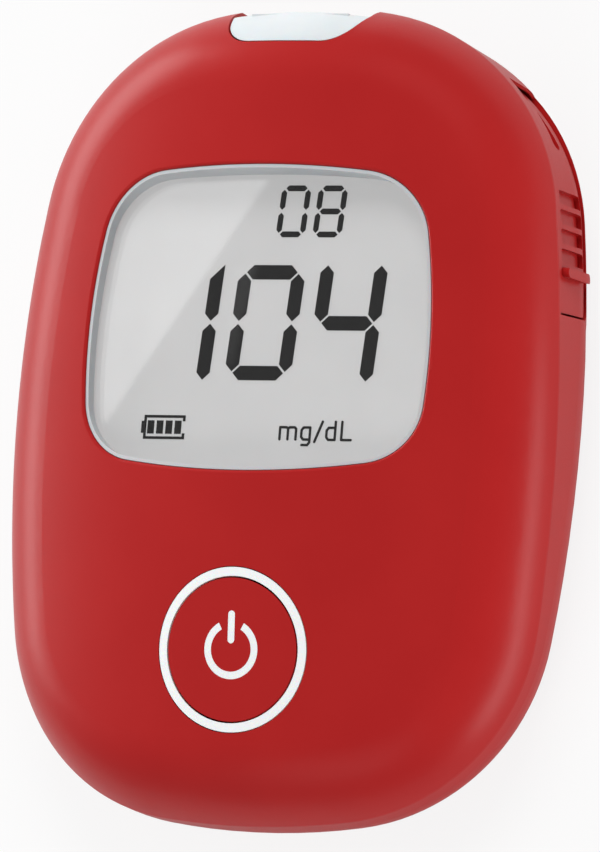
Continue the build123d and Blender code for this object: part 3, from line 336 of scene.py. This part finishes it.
lensLook = {
    "tint": (0.99, 0.99, 0.99, 1),
    "roughness": 0.02,
    "smudge": 0.03,
    "smudgeScale": 60,
    "smudgeDetail": 4.0,
    "hazeScale": 700,
    "hazeDetail": 3.0,
    "bumpStrength": 0.02,
    "bumpDepth": 0.00001,
    "mirrored": 0.039,
    "gloss": 0.15,
}
lcdGlassLook = {
    **lensLook,
    "tint": (0.985, 0.99, 0.99, 1),
    "roughness": 0.01,
    "smudge": 0.01,
    "gloss": 1.0,
}
lensClear = clearSheet("lensClear", lensLook)
lcdGlass = clearSheet("lcdGlass", lcdGlassLook)


# Circuit board: green mask over copper tracks that run on a square grid
def circuitBoard(name, look):
    finish = Finish(name)
    spot = finish.place((1 / look["trackPitch"],) * 3)
    settings = {"feature": "F1", "distance": "MANHATTAN"}
    inputs = {"Vector": spot, "Scale": look["patchScale"]}
    jumble = finish.node("TexVoronoi", settings, inputs, output=1)
    x, y = finish.parts(spot)[:2]
    # Half of the patches take tracks that run along Y, the others along X
    pick = finish.parts(jumble)[0] > 0.5
    across = abs((x % 1.0) - 0.5)
    along = abs((y % 1.0) - 0.5)
    track = (across * pick + along * (1.0 - pick)) < look["trackShare"]
    tint = finish.mix(track, look["mask"], look["copper"])
    cloud = finish.noise(look["cloudScale"], look["cloudDetail"])
    return finish.surface({
        "Base Color": finish.mix(cloud * look["cloudShare"], tint, look["mask"]),
        "Roughness": look["roughness"] + cloud * look["roughnessSpread"],
        "Normal": finish.bump(track, look["bumpStrength"], look["bumpDepth"]),
    })


boardLook = {
    "trackPitch": 0.0009,
    "trackShare": 0.2,
    "patchScale": 0.45,
    "mask": shade(18, 84, 44),
    "copper": shade(44, 124, 62),
    "cloudScale": 120,
    "cloudDetail": 2.0,
    "cloudShare": 0.3,
    "roughness": 0.3,
    "roughnessSpread": 0.15,
    "bumpStrength": 0.3,
    "bumpDepth": 0.00003,
}
boardGreen = circuitBoard("boardGreen", boardLook)


# Battery jacket: dark sleeve with a bright band at the positive end
def cellJacket(name, look):
    finish = Finish(name)
    x = finish.parts(finish.place())[0]
    band = (x * look["bandSide"]) > look["bandFrom"]
    tint = finish.mix(band, look["sleeve"], look["band"])
    metal = abs(x) > look["canFrom"]
    tint = finish.mix(metal, tint, look["can"])
    scuff = finish.noise(look["scuffScale"], look["scuffDetail"])
    return finish.surface({
        "Base Color": finish.mix(scuff * look["scuffShare"], tint, look["can"]),
        "Metallic": metal * look["canMetal"] + band * (1.0 - metal) * look["bandMetal"],
        "Roughness": look["roughness"] + scuff * look["roughnessSpread"],
        "Coat Weight": 1.0 - metal,
    })


cellLook = {
    "bandSide": 1.0,
    "bandFrom": 0.0125,
    "canFrom": 0.0218,
    "sleeve": shade(38, 40, 46),
    "band": shade(196, 150, 70),
    "can": shade(176, 176, 176),
    "canMetal": 0.9,
    "bandMetal": 0.5,
    "scuffScale": 500,
    "scuffDetail": 4.0,
    "scuffShare": 0.15,
    "roughness": 0.22,
    "roughnessSpread": 0.2,
}
cellRight = cellJacket("cellRight", cellLook)
cellLeft = cellJacket("cellLeft", {**cellLook, "bandSide": -1.0})


# Rating label: silver film with a fine brushed streak and a keyline, left blank
def labelFilm(name, look):
    finish = Finish(name)
    x, y = finish.parts(finish.place())[:2]
    stretched = finish.place(look["streakStretch"])
    streak = finish.noise(look["streakScale"], look["streakDetail"], stretched)
    edge = (abs(x) > look["lineX"]) + (abs(y - look["middleY"]) > look["lineY"])
    tint = finish.mix(streak, look["deep"], look["bright"])
    return finish.surface({
        "Base Color": finish.mix(edge > 0.5, tint, look["border"]),
        "Metallic": look["metallic"],
        "Roughness": look["roughness"] + streak * look["roughnessSpread"],
        "Normal": finish.bump(streak, look["bumpStrength"], look["bumpDepth"]),
    })


labelLook = {
    "lineX": 0.0182,
    "lineY": 0.0052,
    "middleY": 0.001,
    "deep": shade(186, 188, 190),
    "bright": shade(206, 208, 210),
    "border": shade(150, 152, 156),
    "streakStretch": (0.05, 1, 1),
    "streakScale": 1400,
    "streakDetail": 2.0,
    "metallic": 0.35,
    "roughness": 0.35,
    "roughnessSpread": 0.12,
    "bumpStrength": 0.05,
    "bumpDepth": 0.00001,
}
labelSilver = labelFilm("labelSilver", labelLook)
print("materials", len(bpy.data.materials))

finishOf = {
    "front_shell": housingRed,
    "rear_shell": housingRed,
    "battery_door": housingRed,
    "main_button": housingRed,
    "ejector_plate": housingRed,
    "display_lens": lensClear,
    "display_bezel": bezelGrey,
    "lcd_front_glass": lcdGlass,
    "lcd_segments": segmentBlack,
    # The display's rear glass and backlight take the glowing grey: painted light that fills in
    # their shade
    "lcd_rear_glass": reflectorPaintedGlowGrey,
    "lcd_backlight": reflectorPaintedGlowGrey,
    "lcd_holder": portWhite,
    "contact_strip": contactRubber,
    "main_board": boardGreen,
    "microcontroller": chipBlack,
    "measuring_chip": chipBlack,
    "crystal": nickelSteel,
    "passives": chipBlack,
    "buzzer": chipBlack,
    "button_symbol": printWhite,
    "button_ring": printWhite,
    "button_switch": nickelSteel,
    "switch_plunger": chipBlack,
    "strip_port": portWhite,
    "strip_connector": chipBlack,
    "strip_contacts": goldPlate,
    "ejector_lever": portWhite,
    "ejector_pusher": portWhite,
    "ejector_spring": nickelSteel,
    "battery_upper": cellLeft,
    "battery_lower": cellRight,
    "battery_contacts": nickelSteel,
    "battery_bridge": nickelSteel,
    "battery_springs": nickelSteel,
    "case_screws": nickelSteel,
    "board_screws": nickelSteel,
    "rating_label": labelSilver,
}
for name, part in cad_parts.items():
    part.data.materials.clear()
    part.data.materials.append(finishOf[name])

# The clear sheets cast no shadow, so light reaches the display behind them
for name in ("display_lens", "lcd_front_glass"):
    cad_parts[name].visible_shadow = False
print("dressed", len(finishOf), "parts")


def addObject(name, data):
    made = bpy.data.objects.new(name, data)
    bpy.context.scene.collection.objects.link(made)
    return made


# A Geometry Nodes tree with named inputs for its counts and lengths
class Layout(Finish):
    def __init__(self, name, counts, lengths):
        self.tree = bpy.data.node_groups.new(name, "GeometryNodeTree")
        self.addSocket("Geometry", "OUTPUT", "NodeSocketGeometry")
        self.slots = {}
        for label in counts:
            self.slots[label] = self.addSocket(label, "INPUT", "NodeSocketInt")
        for label in lengths:
            self.slots[label] = self.addSocket(label, "INPUT", "NodeSocketFloat")
        self.given = self.tree.nodes.new("NodeGroupInput")

    # Gives the identifier by which a modifier sets the socket
    def addSocket(self, label, side, kind):
        made = self.tree.interface.new_socket(label, in_out=side, socket_type=kind)
        return made.identifier

    def nodeType(self, kind):
        return ("ShaderNode" if kind in ("Math", "CombineXYZ") else "GeometryNode") + kind

    def size(self, label):
        return Value(self, self.given.outputs[label])

    def spot(self, **axes):
        return self.node("CombineXYZ", None, axes)

    def close(self, result):
        made = self.tree.nodes.new("NodeGroupOutput")
        self.tree.links.new(result.socket, made.inputs[0])

    # Plain mesh of the tree's result at these sizes
    def build(self, name, sizes):
        piece = addObject(name, bpy.data.meshes.new(name))
        modifier = piece.modifiers.new("layout", "NODES")
        modifier.node_group = self.tree
        for label, value in sizes.items():
            modifier[self.slots[label]] = value
        graph = bpy.context.evaluated_depsgraph_get()
        plain = bpy.data.meshes.new_from_object(piece.evaluated_get(graph))
        piece.modifiers.remove(modifier)
        piece.data = plain
        return piece


# Chip leads: one bent lead, repeated along a side and turned to each side in use
leads = {
    "width": 0.00024,
    "thickness": 0.00012,
    "reach": 0.0008,
    "bend": 0.8,
    "pitch": 0.00065,
    "steps": 6,
    "chips": {"microcontroller": (4, 12), "measuring_chip": (2, 8)},
}


def makeLeadLayout(metal):
    counts = ("sides", "count")
    chipLengths = ("halfSide", "middleX", "middleY", "boardZ", "depth")
    leadLengths = ("pitch", "width", "thickness", "reach")
    layout = Layout("chipLeads", counts, chipLengths + leadLengths)
    size = layout.size
    level = size("boardZ") - size("depth") * 0.5
    edge = size("halfSide")
    path = layout.node("CurveQuadraticBezier", None, {
        "Resolution": leads["steps"],
        "Start": layout.spot(Y=edge, Z=level),
        "Middle": layout.spot(Y=edge + size("reach") * leads["bend"], Z=level),
        "End": layout.spot(Y=edge + size("reach"), Z=size("boardZ") - size("thickness") * 0.5),
    })
    section = {"Width": size("width"), "Height": size("thickness")}
    strip = layout.node("CurvePrimitiveQuadrilateral", None, section)
    lead = layout.node("CurveToMesh", None, {
        "Curve": path,
        "Profile Curve": strip,
        "Fill Caps": True,
    })
    row = layout.node("MeshLine", None, {
        "Count": size("count"),
        "Start Location": layout.spot(X=(size("count") - 1) * size("pitch") * -0.5),
        "Offset": layout.spot(X=size("pitch")),
    })
    side = layout.node("InstanceOnPoints", None, {"Points": row, "Instance": lead})
    turn = layout.spot(Z=layout.node("InputIndex") * math.tau / size("sides"))
    every = layout.node("InstanceOnPoints", None, {
        "Points": layout.node("Points", None, {"Count": size("sides")}),
        "Instance": side,
        "Rotation": turn,
    })
    middle = layout.spot(X=size("middleX"), Y=size("middleY"))
    placed = layout.node("Transform", None, {"Geometry": every, "Translation": middle})
    solid = layout.node("RealizeInstances", None, {"Geometry": placed})
    layout.close(layout.node("SetMaterial", None, {"Geometry": solid, "Material": metal}))
    return layout


leadLayout = makeLeadLayout(nickelSteel)
for chip, (sideCount, leadCount) in leads["chips"].items():
    low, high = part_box(chip)
    piece = leadLayout.build(chip + "_leads", {
        "sides": sideCount,
        "count": leadCount,
        "pitch": leads["pitch"],
        "halfSide": (high[1] - low[1]) / 2,
        "middleX": (low[0] + high[0]) / 2,
        "middleY": (low[1] + high[1]) / 2,
        "boardZ": high[2],
        "depth": high[2] - low[2],
        "width": leads["width"],
        "thickness": leads["thickness"],
        "reach": leads["reach"],
    })
    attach(piece, "case")
    print(chip, "leads", len(piece.data.polygons), "faces")

# Studio: pale floor, plain world and soft lamps
studio = {
    "floorSize": 3.0,
    "floorZ": -0.00002,
    "floorShade": (0.8, 0.8, 0.8, 1),
    "fleckShade": (0.7, 0.7, 0.7, 1),
    "fleckScale": 40,
    "fleckDetail": 3.0,
    "fleckShare": 0.02,
    "floorGlow": 0.85,
    "worldStrength": 0.3,
}
lamps = {
    "topLamp": {
        "place": (0.15, 0.75, 0.8),
        "aim": (0, 0, 0.01),
        "size": (0.7, 0.5),
        "power": 7.4,
        "mirrored": False,
    },
    "lowLamp": {
        "place": (0.0, -0.7, 0.6),
        "aim": (0, 0, 0.01),
        "size": (0.6, 0.4),
        "power": 2.8,
        "mirrored": False,
    },
    "leftLamp": {
        "place": (-0.85, 0.3, 0.2),
        "aim": (0, 0, 0.01),
        "size": (1.0, 0.4),
        "power": 6.4,
        "mirrored": True,
    },
    "rightLamp": {
        "place": (0.2, -0.06, 0.012),
        "aim": (0, 0, 0.012),
        "size": (0.22, 0.024),
        "power": 0.15,
        "mirrored": True,
    },
}


# One four-sided face with a material
def makeSheet(name, corners, material):
    mesh = bpy.data.meshes.new(name)
    mesh.from_pydata(corners, [], [(0, 1, 2, 3)])
    mesh.materials.append(material)
    return addObject(name, mesh)


def makeFloor():
    finish = Finish("floorPaper")
    paper = finish.noise(studio["fleckScale"], studio["fleckDetail"])
    share = paper * studio["fleckShare"]
    tint = finish.mix(share, studio["floorShade"], studio["fleckShade"])
    matt = finish.node("BsdfDiffuse", None, {"Color": tint})
    glow = finish.node("Emission", None, {"Color": white, "Strength": 1.0})
    seen = finish.node("LightPath", output=0)
    both = finish.node("MixShader", None, {0: seen * studio["floorGlow"], 1: matt, 2: glow})
    half = studio["floorSize"] / 2
    z = studio["floorZ"]
    corners = [(-half, -half, z), (half, -half, z), (half, half, z), (-half, half, z)]
    floor = makeSheet("floor", corners, finish.close(both))


def makeLamp(name, look):
    lamp = bpy.data.lights.new(name, "AREA")
    lamp.shape = "RECTANGLE"
    lamp.size, lamp.size_y = look["size"]
    lamp.energy = look["power"]
    holder = addObject(name, lamp)
    holder.location = look["place"]
    holder.rotation_mode = "QUATERNION"
    direction = Vector(look["aim"]) - Vector(look["place"])
    holder.rotation_quaternion = direction.to_track_quat("-Z", "Y")
    holder.visible_camera = False
    holder.visible_glossy = look["mirrored"]


makeFloor()
for name, look in lamps.items():
    makeLamp(name, look)

world = bpy.data.worlds.new("studioWorld")
world.use_nodes = True
sky = world.node_tree.nodes["Background"].inputs
sky["Color"].default_value = white
sky["Strength"].default_value = studio["worldStrength"]
bpy.context.scene.world = world
bpy.context.scene.view_settings.view_transform = "Standard"

# Camera: its place in metres, its turn in degrees, its lens and sensor in millimetres
view = {
    "place": (0.447294, -0.19755, 0.933169),
    "turn": (13.6145, 24.5355, 6.4342),
    "lens": 427.99,
    "sensor": 36.0,
    "clip": (0.05, 10.0),
}
lens = bpy.data.cameras.new("camera")
lens.lens = view["lens"]
lens.sensor_width = view["sensor"]
lens.clip_start, lens.clip_end = view["clip"]
camera = addObject("camera", lens)
turn = Euler([math.radians(angle) for angle in view["turn"]])
camera.matrix_world = Matrix.Translation(view["place"]) @ turn.to_matrix().to_4x4()
bpy.context.scene.camera = camera

# Card: a lit sheet that shows only in gloss, as the slanting sheen in the display glass.
# Edge and far are the corners of that sheen on the glass, in X and Y.
card = {
    "edge": ((0.00221, 0.02846), (-0.02054, -0.00718)),
    "far": ((-0.0265, -0.0072), (-0.0265, 0.0285)),
    "glassMiddle": (0.0, 0.0083, 0.0187),
    "tilt": 3.0,
    "distance": 0.6,
    "glow": 2.0,
}


def makeCard():
    middle = Vector(card["glassMiddle"])
    lean = math.radians(card["tilt"])
    normal = Vector((0, -math.sin(lean), math.cos(lean)))
    eye = Vector(view["place"])
    mirrored = eye - 2 * (eye - middle).dot(normal) * normal
    corners = []
    for x, y in card["edge"] + card["far"]:
        spot = Vector((x, y, middle.z + (y - middle.y) * math.tan(lean)))
        corners.append(spot + (spot - mirrored).normalized() * card["distance"])
    finish = Finish("cardGlow")
    glow = finish.node("Emission", None, {"Color": white, "Strength": card["glow"]})
    sheet = makeSheet("sheenCard", corners, finish.close(glow))
    for kind in ("camera", "diffuse", "transmission", "shadow", "volume_scatter"):
        setattr(sheet, "visible_" + kind, False)


makeCard()
print("camera, lamps and card set")
